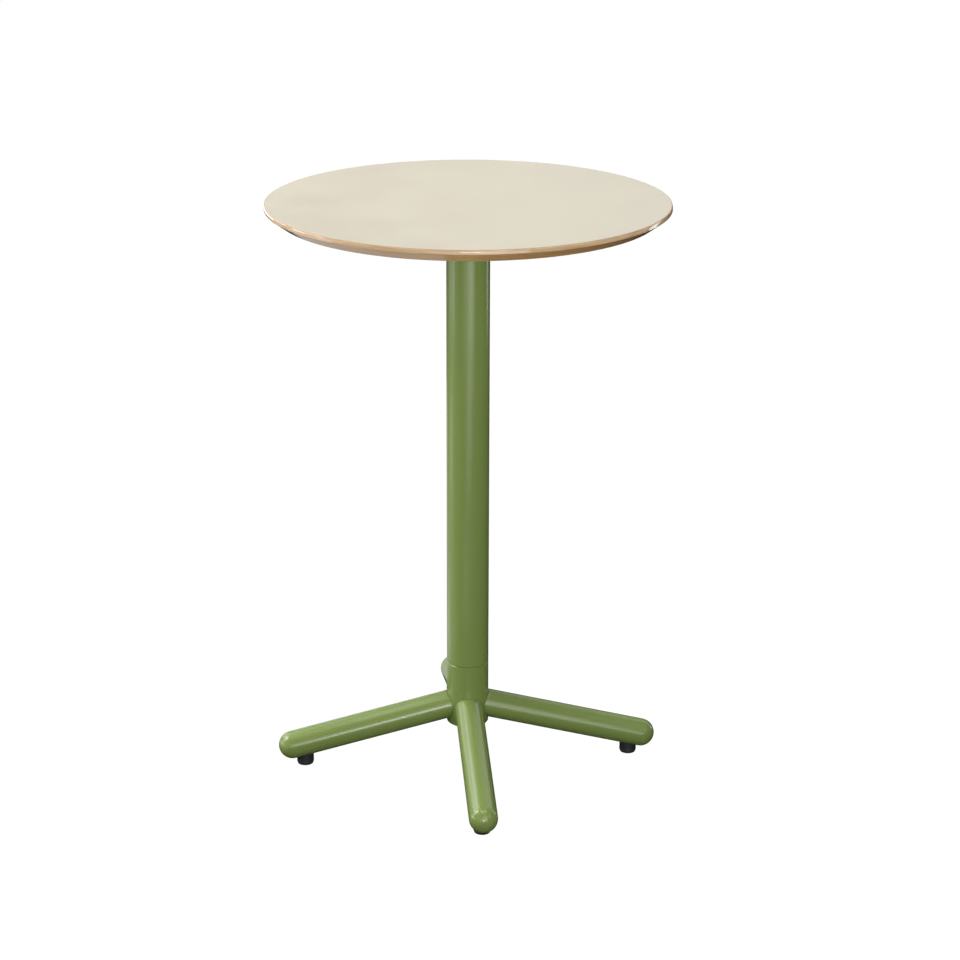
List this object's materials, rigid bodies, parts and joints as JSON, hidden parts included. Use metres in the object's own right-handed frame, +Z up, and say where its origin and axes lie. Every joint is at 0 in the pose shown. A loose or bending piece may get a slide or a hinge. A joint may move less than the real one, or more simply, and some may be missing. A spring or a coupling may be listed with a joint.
{
  "type": "standing meeting table",
  "caption": "Round bar-height meeting table: bevelled wood-edged top on a tubular column with sloping, dome-ended legs and screw-out levelling feet.",
  "frame": {"origin": "on the floor, under the centre line of the column", "axes": "+Z up, -Y towards the front leg, +X towards the right leg"},
  "size_m": [0.6999, 0.7, 1.05],
  "materials": {
    "beige_laminate": "matt high-pressure laminate",
    "lacquered_wood": "clear satin lacquer",
    "backing_laminate": "matt balancing laminate",
    "green_powder_coat": "semi-gloss powder coat on steel",
    "zinc_steel": "bright zinc plate",
    "black_nylon": "moulded nylon",
    "black_rubber": "moulded rubber"
  },
  "bodies": {
    "frame": {"top_surface_sheet": "beige_laminate", "top_core": "lacquered_wood", "top_backing_sheet": "backing_laminate", "top_inserts": "zinc_steel", "plate_screws": "zinc_steel", "clamp_bolt": "zinc_steel", "clamp_washer": "zinc_steel", "hub_plug": "black_nylon", "mounting_plate": "green_powder_coat", "column_tube": "green_powder_coat", "column_foot_disc": "green_powder_coat", "hub_tube": "green_powder_coat", "hub_spigot": "green_powder_coat", "hub_plate": "green_powder_coat", "front_leg_tube": "green_powder_coat", "front_leg_end_cap": "green_powder_coat", "front_foot_socket": "green_powder_coat", "right_leg_tube": "green_powder_coat", "right_leg_end_cap": "green_powder_coat", "right_foot_socket": "green_powder_coat", "back_leg_tube": "green_powder_coat", "back_leg_end_cap": "green_powder_coat", "back_foot_socket": "green_powder_coat", "left_leg_tube": "green_powder_coat", "left_leg_end_cap": "green_powder_coat", "left_foot_socket": "green_powder_coat"},
    "front_sole": {"front_foot_sole": "black_rubber"},
    "front_foot": {"front_foot_knob": "black_nylon", "front_foot_stud": "zinc_steel"},
    "right_sole": {"right_foot_sole": "black_rubber"},
    "right_foot": {"right_foot_knob": "black_nylon", "right_foot_stud": "zinc_steel"},
    "back_sole": {"back_foot_sole": "black_rubber"},
    "back_foot": {"back_foot_knob": "black_nylon", "back_foot_stud": "zinc_steel"},
    "left_sole": {"left_foot_sole": "black_rubber"},
    "left_foot": {"left_foot_knob": "black_nylon", "left_foot_stud": "zinc_steel"}
  },
  "joints": [
    {"name": "front_foot_travel", "type": "slide", "parent": "frame", "child": "front_sole", "axis": [0, 0, -1], "range_m": [0, 0.01]},
    {"name": "front_foot_turn", "type": "hinge", "parent": "front_sole", "child": "front_foot", "pos_m": [0, -0.3, 0.02], "axis": [0, 0, -1], "range_deg": [0, 2880]},
    {"name": "right_foot_travel", "type": "slide", "parent": "frame", "child": "right_sole", "axis": [0, 0, -1], "range_m": [0, 0.01]},
    {"name": "right_foot_turn", "type": "hinge", "parent": "right_sole", "child": "right_foot", "pos_m": [0.3, 0, 0.02], "axis": [0, 0, -1], "range_deg": [0, 2880]},
    {"name": "back_foot_travel", "type": "slide", "parent": "frame", "child": "back_sole", "axis": [0, 0, -1], "range_m": [0, 0.01]},
    {"name": "back_foot_turn", "type": "hinge", "parent": "back_sole", "child": "back_foot", "pos_m": [0, 0.3, 0.02], "axis": [0, 0, -1], "range_deg": [0, 2880]},
    {"name": "left_foot_travel", "type": "slide", "parent": "frame", "child": "left_sole", "axis": [0, 0, -1], "range_m": [0, 0.01]},
    {"name": "left_foot_turn", "type": "hinge", "parent": "left_sole", "child": "left_foot", "pos_m": [-0.3, 0, 0.02], "axis": [0, 0, -1], "range_deg": [0, 2880]}
  ],
  "couplings": [
    {"joint": "front_foot_travel", "follows": "front_foot_turn", "m_per_rad": 0.00019894},
    {"joint": "right_foot_travel", "follows": "right_foot_turn", "m_per_rad": 0.00019894},
    {"joint": "back_foot_travel", "follows": "back_foot_turn", "m_per_rad": 0.00019894},
    {"joint": "left_foot_travel", "follows": "left_foot_turn", "m_per_rad": 0.00019894}
  ]
}
